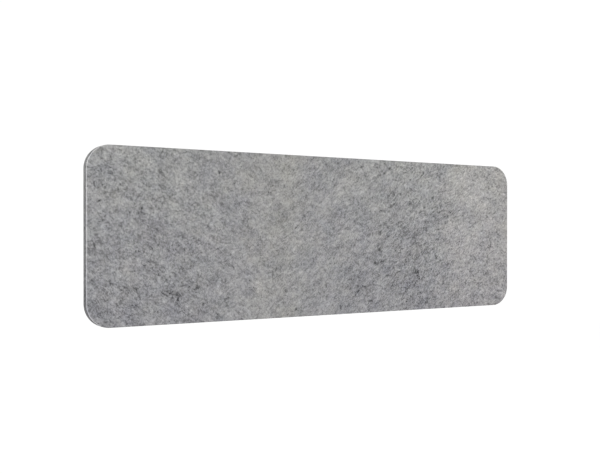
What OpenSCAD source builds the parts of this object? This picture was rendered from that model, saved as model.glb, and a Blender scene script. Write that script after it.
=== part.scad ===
// Acoustic divider screen for a desk: two felt boards bonded back to back round two mount blocks.
// +X runs along the screen, the front face looks along -Y, and +Z is up.
// The origin is the middle of the bottom edge, on the bond line between the two boards.

/* [Screen] */
// Length of the screen from end to end
screen_l = 1400; // [900:10:2000]
// Height of the screen
screen_h = 450; // [300:10:800]
// Radius of the four corners, seen from the front
corner_r = 60; // [20:1:120]

/* [Felt boards] */
// Thickness of one felt board
felt_t = 12; // [9:0.5:20]
// Radius of the softened edge round the outer face of each board
edge_r = 2; // [0.5:0.5:4]

/* [Mount blocks] */
// Distance from the end of the screen to the middle of the nearer mount block
block_inset = 250; // [190:5:350]
// Length of a mount block along the screen
block_l = 120; // [90:2:200]
// Height of a mount block, from the bottom edge up
block_h = 50; // [25:1:120]
// Thickness of a mount block, shared equally by the two boards
block_t = 15; // [14:0.5:17]
// Radius of the upper corners of a block, left by the cutter that makes its pocket
block_corner_r = 6; // [2:0.5:12]
// Glue gap between a block and its pocket
glue_gap = 0.15; // [0.05:0.05:0.4]

/* [Threaded inserts] */
// Distance between the two inserts in one block
insert_pitch = 64; // [32:2:70]
// Length of an insert, its flange included
insert_l = 15; // [10:0.5:20]
// Tapping diameter of the insert's threaded hole, for an M6 screw
thread_d = 5; // [4:0.1:6.5]
// Thickness of metal above the blind threaded hole
hole_end_t = 2; // [1:0.5:4]
// Diameter of the insert's body at the foot of its barbs
insert_body_d = 9; // [8:0.1:9.8]
// Height of a barb above the insert's body
barb_h = 0.5; // [0.1:0.1:0.8]
// Number of barbs on one insert
barb_count = 4; // [1:1:6]
// Plain length of body between the flange and the first barb
neck_l = 1.8; // [0.5:0.1:4]
// Diameter of the insert's flange
flange_d = 12.6; // [11:0.1:13.4]
// Thickness of the insert's flange
flange_t = 1.2; // [0.6:0.1:2]
// Gap between an insert and the hole that it is pressed into
insert_gap = 0.02; // [0.01:0.01:0.1]
// Room that the hole leaves above the insert
drill_room = 3; // [1:0.5:5]

/* [Hidden] */
$fn = 96;
// How far a cut runs past the face that it opens
overrun = 5;

block_x = screen_l / 2 - block_inset;
pocket_depth = block_t / 2 + glue_gap;
pocket_l = block_l + 2 * glue_gap;
pocket_h = block_h + glue_gap;
pocket_corner_r = block_corner_r + glue_gap;
barb_d = insert_body_d + 2 * barb_h;
drill_d = barb_d + 2 * insert_gap;
drill_depth = insert_l + drill_room;
seat_d = flange_d + 2 * insert_gap;
seat_depth = flange_t + insert_gap;

// Section of a board's rim: from the bond line up to the outer face, with that edge rounded
module rim_section() {
    straight_t = felt_t - edge_r;
    flat_w = corner_r - edge_r;
    square([corner_r, straight_t]);
    square([flat_w, felt_t]);
    translate([flat_w, straight_t]) circle(edge_r);
}

// One rounded corner of a board, in the quarter where x and y are positive
module rim_corner() {
    rotate_extrude(angle = 90) rim_section();
}

// A straight stretch of rim, centred on x = 0, that reaches out along +y
module rim_run(length) {
    rotate([90, 0, 90]) linear_extrude(length, center = true) rim_section();
}

// A blank felt board, lying on its bond face with its outer face up, bottom edge on y = 0
module blank_board() {
    core_l = screen_l - 2 * corner_r;
    core_h = screen_h - 2 * corner_r;
    translate([0, screen_h / 2, 0]) {
        translate([-core_l / 2, -core_h / 2, 0]) cube([core_l, core_h, felt_t]);
        for (side = [1, -1]) {
            rotate([0, 0, side > 0 ? 0 : 180]) {
                translate([0, core_h / 2, 0]) rim_run(core_l);
                translate([core_l / 2, 0, 0]) rotate([0, 0, -90]) rim_run(core_h);
                translate([core_l / 2, core_h / 2, 0]) rim_corner();
                translate([-core_l / 2, core_h / 2, 0]) rotate([0, 0, 90]) rim_corner();
            }
        }
    }
}

// Outline of a block or its pocket: square at the bottom edge, rounded at the top
module arched_outline(length, height, radius, foot) {
    translate([-length / 2, -foot]) square([length, height - radius + foot]);
    translate([radius - length / 2, -foot]) square([length - 2 * radius, height + foot]);
    for (side = [-1, 1]) {
        translate([side * (length / 2 - radius), height - radius]) circle(radius);
    }
}

// The two pockets in a board's bond face that take the mount blocks
module block_pockets() {
    for (side = [-1, 1]) {
        translate([side * block_x, 0, -overrun])
            linear_extrude(pocket_depth + overrun)
                arched_outline(pocket_l, pocket_h, pocket_corner_r, overrun);
    }
}

module felt_board() {
    difference() {
        blank_board();
        block_pockets();
    }
}

module front_felt() {
    color("#97979a") rotate([90, 0, 0]) felt_board();
}

module rear_felt() {
    color("#8e8e91") mirror([0, 1, 0]) rotate([90, 0, 0]) felt_board();
}

// The hole and flange seat for one insert, opening at the bottom edge
module insert_seat() {
    translate([0, 0, -overrun]) cylinder(h = overrun + seat_depth, d = seat_d);
    translate([0, 0, -overrun]) cylinder(h = overrun + drill_depth, d = drill_d);
}

// A mount block centred on x = 0, standing on the bottom edge
module mount_block() {
    difference() {
        rotate([90, 0, 0])
            linear_extrude(block_t, center = true)
                arched_outline(block_l, block_h, block_corner_r, 0);
        for (side = [-1, 1]) {
            translate([side * insert_pitch / 2, 0, 0]) insert_seat();
        }
    }
}

module mount_block_left() {
    color("#d9b98a") translate([-block_x, 0, 0]) mount_block();
}

module mount_block_right() {
    color("#d9b98a") translate([block_x, 0, 0]) mount_block();
}

// Half section of an insert: flange at the bottom edge, barbs that slope up to the tip, blind hole
module insert_section() {
    hole_r = thread_d / 2;
    body_r = insert_body_d / 2;
    barb_r = barb_d / 2;
    flange_r = flange_d / 2;
    hole_top = insert_l - hole_end_t;
    barbs_bottom = flange_t + neck_l;
    barbs_top = insert_l - barb_h;
    barb_pitch = (barbs_top - barbs_bottom) / barb_count;
    polygon(concat(
        [[hole_r, 0], [flange_r, 0], [flange_r, flange_t], [body_r, flange_t]],
        [for (i = [0 : barb_count - 1], r = [body_r, barb_r]) [r, barbs_bottom + i * barb_pitch]],
        [[body_r, barbs_top], [body_r - barb_h, insert_l]],
        [[0, insert_l], [0, hole_top], [hole_r, hole_top]]
    ));
}

module threaded_insert() {
    color("#c9b37a") rotate_extrude() insert_section();
}

// An insert in its block: screen_side is -1 at the left block, block_side is -1 at that block's left
module placed_insert(screen_side, block_side) {
    translate([screen_side * block_x + block_side * insert_pitch / 2, 0, 0]) threaded_insert();
}

front_felt();
rear_felt();
mount_block_left();
mount_block_right();
placed_insert(-1, -1);  // insert_left_outer
placed_insert(-1, 1);  // insert_left_inner
placed_insert(1, -1);  // insert_right_inner
placed_insert(1, 1);  // insert_right_outer
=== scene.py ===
import math

import bmesh
import bpy
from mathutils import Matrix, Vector, noise

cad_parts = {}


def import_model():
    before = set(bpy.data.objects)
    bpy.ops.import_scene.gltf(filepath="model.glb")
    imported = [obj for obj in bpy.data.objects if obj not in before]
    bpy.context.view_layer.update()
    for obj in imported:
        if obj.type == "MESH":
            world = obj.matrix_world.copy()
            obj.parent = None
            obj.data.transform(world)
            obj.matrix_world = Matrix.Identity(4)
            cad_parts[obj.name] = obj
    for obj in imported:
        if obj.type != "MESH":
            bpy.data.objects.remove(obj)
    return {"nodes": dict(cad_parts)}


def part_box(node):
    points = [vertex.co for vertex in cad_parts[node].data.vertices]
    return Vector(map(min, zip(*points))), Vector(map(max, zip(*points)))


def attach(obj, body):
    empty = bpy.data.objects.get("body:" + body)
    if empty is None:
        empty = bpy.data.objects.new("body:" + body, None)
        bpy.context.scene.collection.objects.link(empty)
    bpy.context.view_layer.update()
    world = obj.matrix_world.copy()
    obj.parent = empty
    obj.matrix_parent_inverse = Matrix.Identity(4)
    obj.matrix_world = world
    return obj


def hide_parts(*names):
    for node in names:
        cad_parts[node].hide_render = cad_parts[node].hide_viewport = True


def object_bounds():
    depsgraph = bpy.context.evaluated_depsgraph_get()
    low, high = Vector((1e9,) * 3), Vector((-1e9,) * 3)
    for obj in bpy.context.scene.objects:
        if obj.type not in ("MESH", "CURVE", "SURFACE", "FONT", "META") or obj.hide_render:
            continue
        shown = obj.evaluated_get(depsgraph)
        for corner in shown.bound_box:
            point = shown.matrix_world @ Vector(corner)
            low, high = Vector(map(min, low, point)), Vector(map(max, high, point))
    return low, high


MM = 0.001

# Camera: all but level, near mid-height, looking from the front left
CAMERA_PLACE = Vector((-1.3007, -1.9993, 0.2298))
CAMERA_YAW = math.radians(31.213)
CAMERA_PITCH_DOWN = math.radians(0.184)
LENS_MM = 50.0
SENSOR_MM = 36.0

# Felt boards: round corners, a softened outer edge and a small rounding at the bond line
CORNER_R = 60 * MM
EDGE_R = 2 * MM
JOINT_R = 0.35 * MM
# Middle point of that rounding, as shares of its radius: (inwards, towards the bond line)
JOINT_BEND_SHARES = (0.3, 0.7)
GRID_STEP = 4 * MM
CORNER_STEPS = 18
EDGE_STEPS = 5
WALL_STEPS = 4
# Pockets for the mount blocks; their cutter runs past the bond line and the bottom edge
BLOCK_CORNER_R = 6 * MM
POCKET_GAP = 0.15 * MM
POCKET_OVERRUN = 5 * MM
POCKET_CORNER_STEPS = 8
# Relief: (cell size, depth) of each layer, with a smaller share at the outline than RELIEF_FADE inside it
RELIEF_SIZES = ((34 * MM, 0.16 * MM), (9 * MM, 0.14 * MM), (4.5 * MM, 0.08 * MM))
RELIEF_EDGE_SHARE = 0.3
RELIEF_FADE = 10 * MM
# Points nearer to the bond line than this share of the board's thickness stay where they are
RELIEF_START_SHARE = 0.1

# Noise runs from 0 to 1 round this mean
NOISE_MEAN = 0.5

# Felt tone: each layer is (cell size in mm, stretch, turn in degrees, swing of the tone, pull on the warmth)
FELT_LEVEL = 0.335
CLOUD_LAYERS = (
    (85, 1.6, 10, 0.15, 0.10), (42, 1.7, -12, 0.25, 0.065), (21, 1.9, 16, 0.43, 0.045),
    (10.5, 1.8, -12, 0.64, 0.012),
)
GRAIN_LAYERS = ((5.4, 1.7, 35, 0.79, 0.003), (2.9, 1.7, -50, 0.90, 0.0))
# Noise of this cell size moves the marl to and fro within this reach, both in mm, and curls the wisps
WARP_SIZE = 16
WARP_REACH = 9
# Lie of the wisps: they fall to the right at the left end and rise to the right past the first bend
LIE_SLOPE = -0.27
# Each bend is (place along the screen, softness in mm, half the change of the slope)
LIE_BENDS = ((-172, 60, 0.39), (573, 50, -0.24))
# The grain follows the lie by this share only
GRAIN_LIE_SHARE = 0.55
# Place in the noise, in mm, that the marl is taken from
MARL_OFFSET = (1500, 0, -600)
# Dark flecks and fine fibres lie in several directions, given by their turns
FLECK_SIZE = 3.6
FLECK_STRETCH = 2.8
FLECK_DETAIL = 1.0
FLECK_DEPTH = 0.14
FLECK_RANGE = (0.58, 0.76)
FLECK_TURNS = (8, 52, -38, 95)
FIBRE_SIZE = 0.5
FIBRE_STRETCH = 9
FIBRE_SWING = 0.58
FIBRE_TURNS = (0, 60, -60)
# Curled threads: (spread of the curls in mm, width as a share of it, tone, noise level from which the
# threads come in, offset that sets the layer apart)
CURL_LAYERS = (
    (34, 0.05, -0.36, 0.61, (0, 0, 0)), (26, 0.05, -0.31, 0.61, (410, 40, -90)),
    (22, 0.03, 0.09, 0.50, (-300, 25, 330)), (3.6, 0.04, -0.30, 0.50, (70, 0, 20)),
    (3.1, 0.04, 0.26, 0.50, (-90, 0, 55)), (2.6, 0.04, -0.24, 0.50, (35, 0, -80)),
    (2.9, 0.04, 0.22, 0.50, (150, 0, 140)),
)
# That noise has cells of this share of the spread, and the threads are full where it is CURL_FADE higher
CURL_PRESENCE_SHARE = 0.7
CURL_FADE = 0.10
# Upright zones are (middle, half width, softness) in mm; slow noise makes their sides wander
CALM_ZONE = (-170, 210, 90)
WANDER_SIZE = 85
WANDER_REACH = 260
WANDER_OFFSET = (-520, 0, 260)
# Zones of weaker or stronger marl: zone, change of the clouds, change of the grain
SWING_ZONES = ((CALM_ZONE, -0.17, -0.14), ((560, 330, 60), 0.03, 0.22))
# Lighter, warmer zones: zone, lift of the tone, of the warmth and of the green
LIGHT_ZONES = (((-170, 90, 50), 0.04, 0.020, 0.001), ((700, 262, 50), 0.172, 0.018, -0.012))
# Rise of the tone, the warmth and the green for each mm of height above the middle
TONE_RISE = 0.00042
WARMTH_RISE = 0.000048
GREEN_RISE = 0.000038
# The calm zone has none of the tone's rise and is without this share of the tint's
CALM_TINT_SHARE = 0.6
# Tint: red gains and blue loses the warmth, green follows a share of it, and both drift slowly
TINT_SIZE = 66
TINT_OFFSET = (310, 0, 170)
TINT_DETAIL = 4.0
TINT_ROUGHNESS = 0.85
TINT_SWING = 0.105
WARMTH_AT_REST = -0.009
GREEN_SWING = 0.068
GREEN_SHARE = 0.55
GREEN_AT_REST = 0.994
# Cut edge: darker than the face, partly by its own tone and partly by painted shade, lighter towards the top
# by painted light from above, and faintly layered; depths are distances from the bond line
# Darker than the face: partly the cut's own tone, partly painted shade
CUT_TONE_AND_PAINTED_SHADE = 0.45
CUT_DEPTHS = (10.9, 11.4)
# Painted light from above: the cut gets lighter by this share for each mm above mid-height
CUT_PAINTED_LIGHT_RISE = 0.0008
LAYER_SIZE = 0.7
LAYER_STRETCH = 12
LAYER_SWING = 0.5
# Border of the face: painted shade makes it a little darker all round its rim, and a painted highlight makes
# it lighter on the rounded edge of the two ends, where the marl is calmer
RIM_WIDTH = 4
# Painted shade: the face's colour falls to this share at its outline
RIM_PAINTED_SHADE = 0.93
HIGHLIGHT_FADE = (1.4, 2.8)
# Painted highlight: the colour on the rounded edge of the ends is raised by this share, and the marl there
# is calmed by the next
PAINTED_HIGHLIGHT_LIFT = 0.52
HIGHLIGHT_CALM = 0.6
# The painted highlight gains in the corners, between these distances from mid-height, and fades out round
# them, between these distances from the end
HIGHLIGHT_CORNER_GAIN = 0.5
HIGHLIGHT_CORNER_FADE = (160, 205)
HIGHLIGHT_END_FADE = (56, 20)
# Surface of the felt; this bump and those below are (strength, depth)
FELT_ROUGHNESS = 0.85
FELT_SPECULAR = 0.3
SHEEN_WEIGHT = 0.08
SHEEN_ROUGHNESS = 0.5
FELT_BUMP = (0.6, 0.25 * MM)

# Threaded inserts, in mm: the hole is at its tapping radius on the thread's crests
HOLE_R = 2.5
HOLE_END_T = 2.0
THREAD_PITCH = 1.0
THREAD_DEPTH = 0.55
MOUTH_DEPTH = 0.7
FLANGE_T = 1.2
FLANGE_EDGE = 0.2
BODY_R = 4.5
BARB_H = 0.5
BARB_COUNT = 4
NECK_L = 1.8
ROWS_PER_PITCH = 8
TURN_STEPS = 48
TURN_ANGLES = [math.tau * k / TURN_STEPS for k in range(TURN_STEPS)]

# Brass, in mm: a stain sets the roughness, and fine turning marks join it in the colour
BRASS_COLOURS = ((0.47, 0.31, 0.11, 1), (0.76, 0.57, 0.26, 1))
STAIN_SIZE = 2.2
STAIN_DETAIL = 3.0
STAIN_RANGE = (0.3, 0.7)
BRASS_ROUGHNESS = (0.22, 0.42)
TURNING_STEP = 0.16
TURNING_SWING = 0.2
BRASS_BUMP = (0.5, 0.04 * MM)

# Plywood, in mm: plies of alternate grain, with thin dark glue lines between them
PLY_T = 1.36
PLY_WAVE = 0.18
PLY_WAVE_SIZE = 30
# A glue line comes in between these distances from a ply's middle, as shares of its thickness
PLY_MIDDLE_SHARE = 0.5
GLUE_SHARES = (0.42, 0.47)
# Each grain is (cell size, stretch)
LONG_GRAIN = (0.3, (26, 1, 1))
END_GRAIN = (0.28, (1, 0.7, 1))
WOOD_DETAIL = 3.0
LONG_COLOURS = ((0.50, 0.35, 0.20, 1), (0.74, 0.58, 0.39, 1))
END_COLOURS = ((0.25, 0.15, 0.075, 1), (0.50, 0.34, 0.19, 1))
GLUE_COLOUR = (0.13, 0.075, 0.04, 1)
PLY_ROUGHNESS = 0.7
PLY_BUMP = (0.5, 0.1 * MM)

# Studio: the floor lies this far below the screen and reaches this far to each side, in metres
FLOOR_DROP = 0.74
FLOOR_REACH = 40.0
FLOOR_COLOUR = (0.6, 0.6, 0.6, 1)
FLOOR_GLOW = 0.68
WHITE = (1, 1, 1, 1)
# The sky lights the screen with the first strength and is seen with the second
SKY_STRENGTHS = (0.12, 1.03)
# Each light is (direction that it comes from, strength, spread in degrees)
KEY_LIGHT = ((-0.815, -0.572, 0.096), 3.62, 11)
BACK_LIGHT = ((0.6, 0.65, 0.45), 2.6, 40)

# Numbers of the colour sockets on a Mix node
MIX_FIRST = 6
MIX_SECOND = 7
MIX_RESULT = 2


def set_or_link(tree, socket, value):
    """Links the value to the socket if it is another node's output, or else writes it there."""
    if isinstance(value, bpy.types.NodeSocket):
        tree.links.new(value, socket)
    else:
        socket.default_value = value


def add_node(tree, kind, inputs=None, **settings):
    """Adds one shader node; inputs maps a socket's name or index to a value or an output."""
    made = tree.nodes.new("ShaderNode" + kind)
    for name, value in settings.items():
        setattr(made, name, value)
    for key, value in (inputs or {}).items():
        set_or_link(tree, made.inputs[key], value)
    return made


def calc(tree, operation, *values):
    made = add_node(tree, "Math", dict(enumerate(values)), operation=operation)
    return made.outputs[0]


def vector_calc(tree, operation, *values):
    made = add_node(tree, "VectorMath", dict(enumerate(values)), operation=operation)
    return made.outputs[0]


def scaled(tree, vector, factor):
    made = add_node(tree, "VectorMath", {0: vector, "Scale": factor}, operation="SCALE")
    return made.outputs[0]


def length_of(tree, vector):
    made = add_node(tree, "VectorMath", {0: vector}, operation="LENGTH")
    return made.outputs["Value"]


def split(tree, vector):
    """The outputs "X", "Y" and "Z" of a vector."""
    return add_node(tree, "SeparateXYZ", {0: vector}).outputs


def joined(tree, **parts):
    """Vector of the parts X, Y and Z; a part that isn't given is 0."""
    return add_node(tree, "CombineXYZ", parts).outputs[0]


def ramp(tree, value, low, high, out_low=0.0, out_high=1.0):
    """Maps value smoothly from low..high to out_low..out_high."""
    made = add_node(
        tree, "MapRange",
        {"Value": value, "From Min": low, "From Max": high, "To Min": out_low, "To Max": out_high},
        interpolation_type="SMOOTHSTEP",
    )
    return made.outputs["Result"]


def noise_outputs(tree, place_mm, size_mm, stretch=(1, 1, 1), detail=2.0, roughness=0.5):
    """Outputs "Fac" and "Color" of noise whose cells are size_mm across, drawn out by stretch."""
    scale = [1 / (size_mm * along) for along in stretch]
    made = add_node(
        tree, "TexNoise",
        {
            "Vector": vector_calc(tree, "MULTIPLY", place_mm, scale), "Scale": 1.0,
            "Detail": detail, "Roughness": roughness,
        },
        noise_dimensions="3D",
    )
    return made.outputs


def speckle(tree, place_mm, size_mm, stretch=(1, 1, 1), turn=0.0, detail=2.0):
    """Noise whose cells are size_mm across, drawn out by stretch along axes turned about Y."""
    if turn:
        place_mm = add_node(
            tree, "VectorRotate",
            {"Vector": place_mm, "Axis": (0, 1, 0), "Angle": math.radians(turn)},
        ).outputs[0]
    return noise_outputs(tree, place_mm, size_mm, stretch, detail)["Fac"]


def centred(tree, value):
    """Noise moved down by its mean, so that it swings round 0."""
    return calc(tree, "SUBTRACT", value, NOISE_MEAN)


def new_material(name):
    material = bpy.data.materials.new(name)
    material.use_nodes = True
    tree = material.node_tree
    tree.nodes.clear()
    return material, tree


def finish_surface(tree, bump_height, bump_sizes, inputs):
    """Ends a material with a bump of the given (strength, depth) and a shader with these inputs."""
    strength, depth = bump_sizes
    bump = add_node(tree, "Bump", {"Strength": strength, "Distance": depth, "Height": bump_height})
    shader = add_node(tree, "BsdfPrincipled", {**inputs, "Normal": bump.outputs[0]})
    add_node(tree, "OutputMaterial", {"Surface": shader.outputs[0]})


def place_in_mm(tree):
    return scaled(tree, add_node(tree, "TexCoord").outputs["Object"], 1 / MM)


def half_sizes():
    """Half the screen's length and half its height, in mm."""
    low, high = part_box("front_felt")
    return (high.x - low.x) / 2 / MM, (high.z - low.z) / 2 / MM


def edge_distance(tree, x, height):
    """Distance in mm from a point of the face to the screen's rounded outline."""
    half_l, half_h = half_sizes()
    radius = CORNER_R / MM
    across = calc(tree, "SUBTRACT", calc(tree, "ABSOLUTE", x), half_l - radius)
    up = calc(tree, "SUBTRACT", calc(tree, "ABSOLUTE", height), half_h - radius)
    corner = joined(tree, X=calc(tree, "MAXIMUM", across, 0.0), Y=calc(tree, "MAXIMUM", up, 0.0))
    inner = calc(tree, "MINIMUM", calc(tree, "MAXIMUM", across, up), 0.0)
    return calc(tree, "SUBTRACT", radius, calc(tree, "ADD", length_of(tree, corner), inner))


def wandering_x(tree, place, x):
    """Distance along the screen in mm, shifted to and fro by slow noise."""
    shifted = vector_calc(tree, "ADD", place, WANDER_OFFSET)
    sway = centred(tree, speckle(tree, shifted, WANDER_SIZE))
    return calc(tree, "MULTIPLY_ADD", sway, WANDER_REACH, x)


def upright_zone(tree, along, middle, half_width, softness):
    """1 along an upright stretch of the face, falling softly to 0 on both sides."""
    away = calc(tree, "ABSOLUTE", calc(tree, "SUBTRACT", along, middle))
    return ramp(tree, away, half_width - softness, half_width + softness, 1.0, 0.0)


def with_zones(tree, along, zones, *totals):
    """The totals, with each zone's changes of them added where the zone lies."""
    for sizes, *changes in zones:
        zone = upright_zone(tree, along, *sizes)
        totals = [calc(tree, "MULTIPLY_ADD", zone, change, total) for change, total in zip(changes, totals)]
    return totals


def lie_shift(tree, place):
    """Shift in mm that shears level streaks of noise into the lie of the wisps."""
    x = split(tree, place)["X"]
    drop = calc(tree, "MULTIPLY", x, -LIE_SLOPE)
    for middle, softness, change in LIE_BENDS:
        away = calc(tree, "SUBTRACT", x, middle)
        reach = calc(tree, "SQRT", calc(tree, "MULTIPLY_ADD", away, away, softness ** 2))
        drop = calc(tree, "MULTIPLY_ADD", reach, -change, drop)
    return joined(tree, Z=drop)


def layered_marl(tree, place, layers, warmth):
    """Sum of noise layers around 0, and the warmth with their pull added."""
    total = 0.0
    for size, stretch, turn, swing, pull in layers:
        change = centred(tree, speckle(tree, place, size, (stretch, 1, 1), turn, detail=0.0))
        total = calc(tree, "MULTIPLY_ADD", change, swing, total)
        warmth = calc(tree, "MULTIPLY_ADD", change, swing * pull, warmth)
    return total, warmth


def with_flecks(tree, place, grain):
    """The grain, darkened by short flecks."""
    for turn in FLECK_TURNS:
        streak = speckle(tree, place, FLECK_SIZE, (FLECK_STRETCH, 1, 1), turn, FLECK_DETAIL)
        grain = calc(tree, "SUBTRACT", grain, ramp(tree, streak, *FLECK_RANGE, 0.0, FLECK_DEPTH))
    return grain


def with_fibres(tree, place, grain):
    """The grain, with fine straight fibres added."""
    for turn in FIBRE_TURNS:
        fibre = speckle(tree, place, FIBRE_SIZE, (FIBRE_STRETCH, 1, 1), turn, detail=0.0)
        grain = calc(tree, "MULTIPLY_ADD", centred(tree, fibre), FIBRE_SWING, grain)
    return grain


def curls(tree, place):
    """Thin curved threads: stretches of the lines along which noise is at its mean."""
    total = 0.0
    for spread, width, tone, start, offset in CURL_LAYERS:
        shifted = vector_calc(tree, "ADD", place, offset)
        away = calc(tree, "ABSOLUTE", centred(tree, speckle(tree, shifted, spread, detail=0.0)))
        thread = ramp(tree, away, 0, width, tone, 0.0)
        presence = speckle(tree, shifted, spread * CURL_PRESENCE_SHARE, detail=0.0)
        there = ramp(tree, presence, start, start + CURL_FADE)
        total = calc(tree, "MULTIPLY_ADD", thread, there, total)
    return total


def marl(tree, place):
    """Clouds and grain, the felt's deviations from its mean tone, and the warmth that goes with them."""
    shift = lie_shift(tree, place)
    place = vector_calc(tree, "ADD", place, MARL_OFFSET)
    swirl = noise_outputs(tree, place, WARP_SIZE)["Color"]
    swirl = vector_calc(tree, "SUBTRACT", swirl, (NOISE_MEAN,) * 3)
    curved = vector_calc(tree, "ADD", place, scaled(tree, swirl, WARP_REACH))
    lying = vector_calc(tree, "ADD", curved, shift)
    clouds, warmth = layered_marl(tree, lying, CLOUD_LAYERS, WARMTH_AT_REST)
    lying = vector_calc(tree, "ADD", curved, scaled(tree, shift, GRAIN_LIE_SHARE))
    grain, warmth = layered_marl(tree, lying, GRAIN_LAYERS, warmth)
    grain = with_flecks(tree, lying, grain)
    grain = with_fibres(tree, lying, grain)
    grain = calc(tree, "ADD", grain, curls(tree, lying))
    return clouds, grain, warmth


def felt_tone(tree, place, x, height, painted_highlight):
    """The felt's tone, warmth and green, with the zones and the rise towards the top."""
    clouds, grain, warmth = marl(tree, place)
    along = wandering_x(tree, place, x)
    cloud_swing, grain_swing = with_zones(tree, along, SWING_ZONES, 1.0, 1.0)
    change = calc(tree, "MULTIPLY", clouds, cloud_swing)
    change = calc(tree, "MULTIPLY_ADD", grain, grain_swing, change)
    # The marl is calmer under the painted highlight
    smooth = calc(tree, "MULTIPLY_ADD", painted_highlight, -HIGHLIGHT_CALM, 1.0)
    tone = calc(tree, "MULTIPLY_ADD", change, smooth, 1.0)
    calm = upright_zone(tree, along, *CALM_ZONE)
    tone_height = calc(tree, "MULTIPLY", height, calc(tree, "SUBTRACT", 1.0, calm))
    tone = calc(tree, "MULTIPLY_ADD", tone_height, TONE_RISE, tone)
    tint_share = calc(tree, "MULTIPLY_ADD", calm, -CALM_TINT_SHARE, 1.0)
    tint_height = calc(tree, "MULTIPLY", height, tint_share)
    warmth = calc(tree, "MULTIPLY_ADD", tint_height, WARMTH_RISE, warmth)
    green = calc(tree, "MULTIPLY_ADD", tint_height, GREEN_RISE, GREEN_AT_REST)
    return with_zones(tree, along, LIGHT_ZONES, tone, warmth, green)


def felt_tint(tree, place, warmth, green):
    """Colour around white: the warmth and a slow drift move it between yellow and blue."""
    shifted = vector_calc(tree, "ADD", place, TINT_OFFSET)
    drift = noise_outputs(tree, shifted, TINT_SIZE, detail=TINT_DETAIL, roughness=TINT_ROUGHNESS)
    drift = split(tree, drift["Color"])
    warmth = calc(tree, "MULTIPLY_ADD", centred(tree, drift["X"]), TINT_SWING, warmth)
    green = calc(tree, "MULTIPLY_ADD", warmth, GREEN_SHARE, green)
    green = calc(tree, "MULTIPLY_ADD", centred(tree, drift["Y"]), GREEN_SWING, green)
    red = calc(tree, "ADD", 1.0, warmth)
    blue = calc(tree, "SUBTRACT", 1.0, warmth)
    return joined(tree, X=red, Y=green, Z=blue)


def painted_highlight_band(tree, x, inset, skin):
    """Mask of the painted highlight: 1 on the rounded edge of the two ends; 0 on the face, on the cut and
    past the corners.
    """
    half_l = half_sizes()[0]
    ends = ramp(tree, calc(tree, "ABSOLUTE", x), half_l - HIGHLIGHT_END_FADE[0], half_l - HIGHLIGHT_END_FADE[1])
    edge = ramp(tree, inset, *HIGHLIGHT_FADE, 1.0, 0.0)
    return calc(tree, "MULTIPLY", calc(tree, "MULTIPLY", edge, ends), skin)


def cut_tone_and_painted_light(tree, place, height):
    """Colour share of the cut edge: faint layers, a darkening that is partly painted shade, and painted
    light from above that makes it a little lighter towards the top.
    """
    layers = centred(tree, speckle(tree, place, LAYER_SIZE, (LAYER_STRETCH, 1, LAYER_STRETCH)))
    shade = calc(tree, "MULTIPLY_ADD", layers, LAYER_SWING, 1.0)
    # Painted light from above: lighter towards the top
    shade = calc(tree, "MULTIPLY_ADD", height, CUT_PAINTED_LIGHT_RISE, shade)
    # Darker than the face: partly its own tone, partly painted shade
    return calc(tree, "MULTIPLY", shade, CUT_TONE_AND_PAINTED_SHADE)


def felt_face(tree, height, inset, painted_highlight):
    """Shade of the face: painted shade at its rim, and a painted highlight on the rounded edge of the ends,
    strongest in the corners.
    """
    # Painted shade along the rim of the face
    rim = ramp(tree, inset, 0, RIM_WIDTH, RIM_PAINTED_SHADE, 1.0)
    from_middle = calc(tree, "ABSOLUTE", height)
    # Painted highlight on the rounded edge of the ends
    highlight_lift = ramp(tree, from_middle, *HIGHLIGHT_CORNER_FADE, PAINTED_HIGHLIGHT_LIFT, PAINTED_HIGHLIGHT_LIFT * (1 + HIGHLIGHT_CORNER_GAIN))
    return calc(tree, "MULTIPLY_ADD", painted_highlight, highlight_lift, rim)


def felt_material():
    """Marled grey felt: clouds, wisps, grain and flecks, darker and layered where the board is cut, the
    darkness there partly painted shade.
    """
    material, tree = new_material("marled_felt")
    place = place_in_mm(tree)
    axes = split(tree, place)
    x = axes["X"]
    height = calc(tree, "SUBTRACT", axes["Z"], half_sizes()[1])
    inset = edge_distance(tree, x, height)
    skin = ramp(tree, calc(tree, "ABSOLUTE", axes["Y"]), *CUT_DEPTHS)
    # Where the painted highlight lies
    painted_highlight = painted_highlight_band(tree, x, inset, skin)
    tone, warmth, green = felt_tone(tree, place, x, height, painted_highlight)
    # Cut edge, with its painted shade and painted light
    cut = cut_tone_and_painted_light(tree, place, height)
    face = felt_face(tree, height, inset, painted_highlight)
    shade = add_node(tree, "Mix", {"Factor": skin, "A": cut, "B": face}).outputs["Result"]
    level = calc(tree, "MULTIPLY", calc(tree, "MULTIPLY", shade, FELT_LEVEL), tone)
    colour = scaled(tree, felt_tint(tree, place, warmth, green), level)
    finish_surface(tree, tone, FELT_BUMP, {
        "Base Color": colour, "Roughness": FELT_ROUGHNESS, "Specular IOR Level": FELT_SPECULAR,
        "Sheen Weight": SHEEN_WEIGHT, "Sheen Roughness": SHEEN_ROUGHNESS,
    })
    return material


def two_colours(tree, value, pair):
    """The first colour where value is 0, the second where it is 1."""
    made = add_node(tree, "ValToRGB", {"Fac": value})
    for element, colour in zip(made.color_ramp.elements, pair):
        element.color = colour
    return made.outputs["Color"]


def blend_colours(tree, factor, first, second):
    """first where factor is 0, second where it is 1."""
    inputs = {"Factor": factor, MIX_FIRST: first, MIX_SECOND: second}
    return add_node(tree, "Mix", inputs, data_type="RGBA").outputs[MIX_RESULT]


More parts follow.
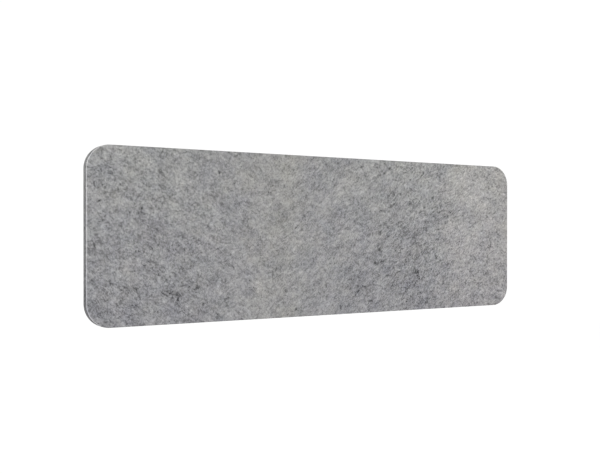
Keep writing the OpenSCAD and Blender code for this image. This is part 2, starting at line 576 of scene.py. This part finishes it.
def plywood_material():
    """Birch plywood seen on its edge: plies of long grain and end grain in turn."""
    material, tree = new_material("birch_plywood")
    place = place_in_mm(tree)
    wave = centred(tree, speckle(tree, place, PLY_WAVE_SIZE))
    across = calc(tree, "MULTIPLY_ADD", wave, PLY_WAVE, split(tree, place)["Y"])
    ply = calc(tree, "DIVIDE", across, PLY_T)
    number = calc(tree, "FLOOR", ply)
    inside = calc(tree, "SUBTRACT", ply, number)
    from_middle = calc(tree, "ABSOLUTE", calc(tree, "SUBTRACT", inside, PLY_MIDDLE_SHARE))
    glue = ramp(tree, from_middle, *GLUE_SHARES)
    ends_show = calc(tree, "PINGPONG", number, 1.0)
    long_grain = speckle(tree, place, *LONG_GRAIN, detail=WOOD_DETAIL)
    end_grain = speckle(tree, place, *END_GRAIN, detail=WOOD_DETAIL)
    long_wood = two_colours(tree, long_grain, LONG_COLOURS)
    end_wood = two_colours(tree, end_grain, END_COLOURS)
    wood = blend_colours(tree, ends_show, long_wood, end_wood)
    colour = blend_colours(tree, glue, wood, GLUE_COLOUR)
    bumps = calc(tree, "SUBTRACT", calc(tree, "ADD", long_grain, end_grain), glue)
    finish_surface(tree, bumps, PLY_BUMP, {"Base Color": colour, "Roughness": PLY_ROUGHNESS})
    return material


def brass_material(name, axis_x):
    """Turned brass, with fine turning marks round an upright axis at axis_x."""
    material, tree = new_material(name)
    place = place_in_mm(tree)
    from_axis = vector_calc(tree, "SUBTRACT", place, (axis_x / MM, 0, 0))
    radius = length_of(tree, vector_calc(tree, "MULTIPLY", from_axis, (1, 1, 0)))
    rings = calc(tree, "PINGPONG", radius, TURNING_STEP)
    stain = speckle(tree, place, STAIN_SIZE, detail=STAIN_DETAIL)
    tone = calc(tree, "MULTIPLY_ADD", rings, TURNING_SWING / TURNING_STEP, stain)
    rough = ramp(tree, stain, *STAIN_RANGE, *BRASS_ROUGHNESS)
    colour = two_colours(tree, tone, BRASS_COLOURS)
    finish_surface(tree, tone, BRASS_BUMP, {"Base Color": colour, "Metallic": 1.0, "Roughness": rough})
    return material


def add_object(name, data):
    made = bpy.data.objects.new(name, data)
    bpy.context.scene.collection.objects.link(made)
    return made


def mesh_object(name, mesh):
    """Turns a finished bmesh into an object of the scene."""
    data = bpy.data.meshes.new(name)
    mesh.to_mesh(data)
    mesh.free()
    return add_object(name, data)


def set_material(piece, material):
    piece.data.materials.clear()
    piece.data.materials.append(material)


def join_rings(mesh, first, second):
    """Makes the band of faces between two rings that have as many points."""
    for k in range(len(first)):
        following = (k + 1) % len(first)
        mesh.faces.new((first[k], first[following], second[following], second[k]))


def face_rows(half_h, radius):
    """(height, angle) of each row of the face, bottom to top; angle is 0 where the ends are straight."""
    straight = half_h - radius
    steps = round(2 * straight / GRID_STEP)
    corner = [math.pi / 2 * k / CORNER_STEPS for k in range(CORNER_STEPS, 0, -1)]
    low = [(-straight - radius * math.sin(a), -a) for a in corner]
    middle = [(-straight + 2 * straight * k / steps, 0.0) for k in range(steps + 1)]
    return low + middle + [(-z, -a) for z, a in reversed(low)]


def face_grid(mesh, rows, half_l, radius, y, centre_z):
    """Points of the flat face, row by row, with the faces between them."""
    columns = round(2 * half_l / GRID_STEP)
    grid = []
    for z, angle in rows:
        reach = half_l - radius + radius * math.cos(angle)
        places = [reach * (2 * i / columns - 1) for i in range(columns + 1)]
        grid.append([mesh.verts.new((x, y, centre_z + z)) for x in places])
    for lower, upper in zip(grid[:-1], grid[1:]):
        for i in range(columns):
            mesh.faces.new((lower[i], lower[i + 1], upper[i + 1], upper[i]))
    return grid


def rim_points(grid, rows):
    """(point, direction outwards) of each point on the face's outline, once round."""
    bottom = [(point, (0.0, -1.0)) for point in grid[0][:-1]]
    top = [(point, (0.0, 1.0)) for point in grid[-1][1:]]
    left = [(line[0], (-math.cos(angle), math.sin(angle))) for line, (_, angle) in zip(grid, rows)]
    right = [(line[-1], (math.cos(angle), math.sin(angle))) for line, (_, angle) in zip(grid, rows)]
    return bottom + right[:-1] + top[::-1] + left[:0:-1]


def rim_profile(thickness):
    """(distance out, depth behind the face) of each ring round the face, ending at the bond line."""
    arc = [math.pi / 2 * k / EDGE_STEPS for k in range(1, EDGE_STEPS + 1)]
    edge = [(EDGE_R * math.sin(a), EDGE_R * (1 - math.cos(a))) for a in arc]
    wall_end = thickness - JOINT_R
    wall = [(EDGE_R, EDGE_R + (wall_end - EDGE_R) * k / WALL_STEPS) for k in range(1, WALL_STEPS + 1)]
    inwards, onwards = JOINT_BEND_SHARES
    joint = [(EDGE_R - JOINT_R * inwards, wall_end + JOINT_R * onwards), (EDGE_R - JOINT_R, thickness)]
    return edge + wall + joint


def outline_distance(x, z, low, high):
    """Distance from a point of the board to its rounded outline, in metres."""
    across = abs(x) - (high.x - CORNER_R)
    up = abs(z - (low.z + high.z) / 2) - ((high.z - low.z) / 2 - CORNER_R)
    if across > 0 and up > 0:
        return CORNER_R - math.hypot(across, up)
    return CORNER_R - max(across, up)


def add_relief(mesh, low, high):
    """Sinks the surface by a needled felt's small unevenness; it never rises above the true face."""
    mesh.normal_update()
    moves = []
    for vert in mesh.verts:
        if abs(vert.co.y) < (high.y - low.y) * RELIEF_START_SHARE:
            continue
        inward = min(outline_distance(vert.co.x, vert.co.z, low, high) / RELIEF_FADE, 1)
        share = RELIEF_EDGE_SHARE + (1 - RELIEF_EDGE_SHARE) * inward
        sink = 0.0
        for size, depth in RELIEF_SIZES:
            sink += share * depth * (1 + noise.noise(vert.co / size)) / 2
        moves.append((vert, vert.normal * -sink))
    for vert, shift in moves:
        vert.co += shift


def build_board(name, node_name, facing):
    """One felt board as a closed mesh. facing is -1 for the front board and 1 for the rear one."""
    low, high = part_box(node_name)
    thickness = high.y - low.y
    half_l = (high.x - low.x) / 2 - EDGE_R
    half_h = (high.z - low.z) / 2 - EDGE_R
    radius = CORNER_R - EDGE_R
    rows = face_rows(half_h, radius)
    mesh = bmesh.new()
    grid = face_grid(mesh, rows, half_l, radius, facing * thickness, (high.z + low.z) / 2)
    rim = rim_points(grid, rows)
    previous = [vert for vert, _ in rim]
    for out, depth in rim_profile(thickness):
        y = facing * (thickness - depth)
        places = [(vert.co.x + nx * out, y, vert.co.z + nz * out) for vert, (nx, nz) in rim]
        ring = [mesh.verts.new(place) for place in places]
        join_rings(mesh, previous, ring)
        previous = ring
    mesh.faces.new(previous)
    bmesh.ops.recalc_face_normals(mesh, faces=mesh.faces)
    add_relief(mesh, low, high)
    return mesh_object(name, mesh)


def arched_points(half_l, height, radius, foot):
    """Outline of a pocket: square at the foot, round at its two upper corners."""
    points = [(-half_l, foot), (half_l, foot)]
    for side, start in ((1, 0.0), (-1, math.pi / 2)):
        for k in range(POCKET_CORNER_STEPS + 1):
            angle = start + math.pi / 2 * k / POCKET_CORNER_STEPS
            points.append((
                side * (half_l - radius) + radius * math.cos(angle),
                height - radius + radius * math.sin(angle),
            ))
    return points


def pocket_cutter(node_name, facing):
    """What is cut out of a board's bond side for one mount block: the block and its glue gap."""
    low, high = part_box(node_name)
    middle = (low.x + high.x) / 2
    outline = arched_points(
        (high.x - low.x) / 2 + POCKET_GAP, high.z + POCKET_GAP, BLOCK_CORNER_R + POCKET_GAP, -POCKET_OVERRUN,
    )
    mesh = bmesh.new()
    ends = []
    for depth in (high.y + POCKET_GAP, -POCKET_OVERRUN):
        ring = [mesh.verts.new((middle + x, facing * depth, z)) for x, z in outline]
        mesh.faces.new(ring)
        ends.append(ring)
    join_rings(mesh, *ends)
    bmesh.ops.recalc_face_normals(mesh, faces=mesh.faces)
    return mesh_object("pocket_cutter", mesh)


def cut_pockets(board, facing):
    """Cuts the two pockets for the mount blocks out of a board's bond side."""
    for node_name in ("mount_block_left", "mount_block_right"):
        cutter = pocket_cutter(node_name, facing)
        cut = board.modifiers.new("pocket", "BOOLEAN")
        cut.operation = "DIFFERENCE"
        cut.solver = "EXACT"
        cut.object = cutter
        bpy.context.view_layer.update()
        depsgraph = bpy.context.evaluated_depsgraph_get()
        result = bpy.data.meshes.new_from_object(board.evaluated_get(depsgraph))
        board.modifiers.clear()
        board.data = result
        bpy.data.objects.remove(cutter)


def make_felt_board(name, node_name, facing, material):
    board = build_board(name, node_name, facing)
    cut_pockets(board, facing)
    set_material(board, material)
    for polygon in board.data.polygons:
        polygon.use_smooth = True
    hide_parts(node_name)
    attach(board, "root")


def hole_radius(height, angle):
    """Radius of the threaded hole at a height and angle: a V groove that climbs as it turns."""
    turn = (height / THREAD_PITCH - angle / math.tau) % 1.0
    thread = HOLE_R + THREAD_DEPTH * (1 - abs(2 * turn - 1))
    mouth = HOLE_R + MOUTH_DEPTH - height
    return max(thread, mouth)


def insert_outline(flange_r, length):
    """(radius, height) of the insert's outside, from the flange's face up to the tip."""
    barbs_bottom = FLANGE_T + NECK_L
    barbs_top = length - BARB_H
    pitch = (barbs_top - barbs_bottom) / BARB_COUNT
    points = [(flange_r - FLANGE_EDGE, 0), (flange_r, FLANGE_EDGE)]
    points += [(flange_r, FLANGE_T), (BODY_R, FLANGE_T)]
    for i in range(BARB_COUNT):
        points += [(BODY_R, barbs_bottom + i * pitch), (BODY_R + BARB_H, barbs_bottom + i * pitch)]
    return points + [(BODY_R, barbs_top), (BODY_R - BARB_H, length)]


def insert_rings(flange_r, length):
    """Rings of (radius, height) at each angle: down the threaded hole, then up the outside."""
    hole_l = length - HOLE_END_T
    rows = round(hole_l / THREAD_PITCH * ROWS_PER_PITCH)
    heights = [hole_l * k / rows for k in range(rows, -1, -1)]
    hole = [[(hole_radius(z, angle), z) for angle in TURN_ANGLES] for z in heights]
    return hole + [[point] * TURN_STEPS for point in insert_outline(flange_r, length)]


def make_insert(node_name):
    """A threaded insert with a real thread in its hole, in place of its node."""
    low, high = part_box(node_name)
    axis_x = (low.x + high.x) / 2
    mesh = bmesh.new()
    rings = []
    for points in insert_rings((high.x - low.x) / 2 / MM, (high.z - low.z) / MM):
        places = [
            (axis_x + r * math.cos(a) * MM, r * math.sin(a) * MM, low.z + z * MM)
            for (r, z), a in zip(points, TURN_ANGLES)
        ]
        rings.append([mesh.verts.new(place) for place in places])
    for first, second in zip(rings[:-1], rings[1:]):
        join_rings(mesh, first, second)
    mesh.faces.new(rings[0])
    mesh.faces.new(rings[-1])
    bmesh.ops.recalc_face_normals(mesh, faces=mesh.faces)
    insert = mesh_object("threaded_" + node_name, mesh)
    set_material(insert, brass_material("brass_" + node_name, axis_x))
    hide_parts(node_name)
    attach(insert, "root")


def make_camera():
    data = bpy.data.cameras.new("camera")
    data.lens = LENS_MM
    data.sensor_width = SENSOR_MM
    camera = add_object("camera", data)
    camera.location = CAMERA_PLACE
    camera.rotation_euler = (math.pi / 2 - CAMERA_PITCH_DOWN, 0, -CAMERA_YAW)
    bpy.context.scene.camera = camera


def make_sun(name, toward, strength, spread):
    """A soft distant light that shines from the direction toward."""
    data = bpy.data.lights.new(name, "SUN")
    data.energy = strength
    data.angle = math.radians(spread)
    lamp = add_object(name, data)
    lamp.rotation_euler = Vector(toward).to_track_quat("Z", "Y").to_euler()


def seen_directly(tree):
    """1 for rays from the camera and for mirror or glass rays, else 0."""
    path = add_node(tree, "LightPath")
    seen = calc(tree, "MAXIMUM", path.outputs["Is Camera Ray"], path.outputs["Is Glossy Ray"])
    return calc(tree, "MAXIMUM", seen, path.outputs["Is Transmission Ray"])


def make_world():
    world = bpy.data.worlds.new("studio")
    world.use_nodes = True
    tree = world.node_tree
    tree.nodes.clear()
    strength = ramp(tree, seen_directly(tree), 0, 1, *SKY_STRENGTHS)
    sky = add_node(tree, "Background", {"Color": WHITE, "Strength": strength})
    add_node(tree, "OutputWorld", {"Surface": sky.outputs[0]})
    bpy.context.scene.world = world


def floor_material():
    """Pale, seen as white but for the screen's shadow, and see-through from below."""
    material, tree = new_material("floor")
    diffuse = add_node(tree, "BsdfDiffuse", {"Color": FLOOR_COLOUR})
    strength = calc(tree, "MULTIPLY", seen_directly(tree), FLOOR_GLOW)
    glow = add_node(tree, "Emission", {"Color": WHITE, "Strength": strength})
    lit = add_node(tree, "AddShader", {0: diffuse.outputs[0], 1: glow.outputs[0]})
    below = add_node(tree, "NewGeometry").outputs["Backfacing"]
    camera_ray = add_node(tree, "LightPath").outputs["Is Camera Ray"]
    clear = add_node(tree, "BsdfTransparent")
    shader = add_node(
        tree, "MixShader",
        {0: calc(tree, "MULTIPLY", below, camera_ray), 1: lit.outputs[0], 2: clear.outputs[0]},
    )
    add_node(tree, "OutputMaterial", {"Surface": shader.outputs[0]})
    return material


def make_floor(height):
    """A wide level floor."""
    mesh = bmesh.new()
    corners = [(-1, -1), (1, -1), (1, 1), (-1, 1)]
    mesh.faces.new([mesh.verts.new((x * FLOOR_REACH, y * FLOOR_REACH, height)) for x, y in corners])
    floor = mesh_object("floor", mesh)
    set_material(floor, floor_material())


def main():
    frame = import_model()
    cad_low, cad_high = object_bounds()
    make_camera()

    felt = felt_material()
    make_felt_board("front_felt_board", "front_felt", -1, felt)
    make_felt_board("rear_felt_board", "rear_felt", 1, felt)
    plywood = plywood_material()
    for name, node in frame["nodes"].items():
        if name.startswith("mount_block"):
            set_material(node, plywood)
        elif name.startswith("insert"):
            make_insert(name)

    make_world()
    make_floor(cad_low.z - FLOOR_DROP)
    make_sun("key", *KEY_LIGHT)
    make_sun("back_light", *BACK_LIGHT)
    bpy.context.scene.view_settings.view_transform = "Standard"


main()
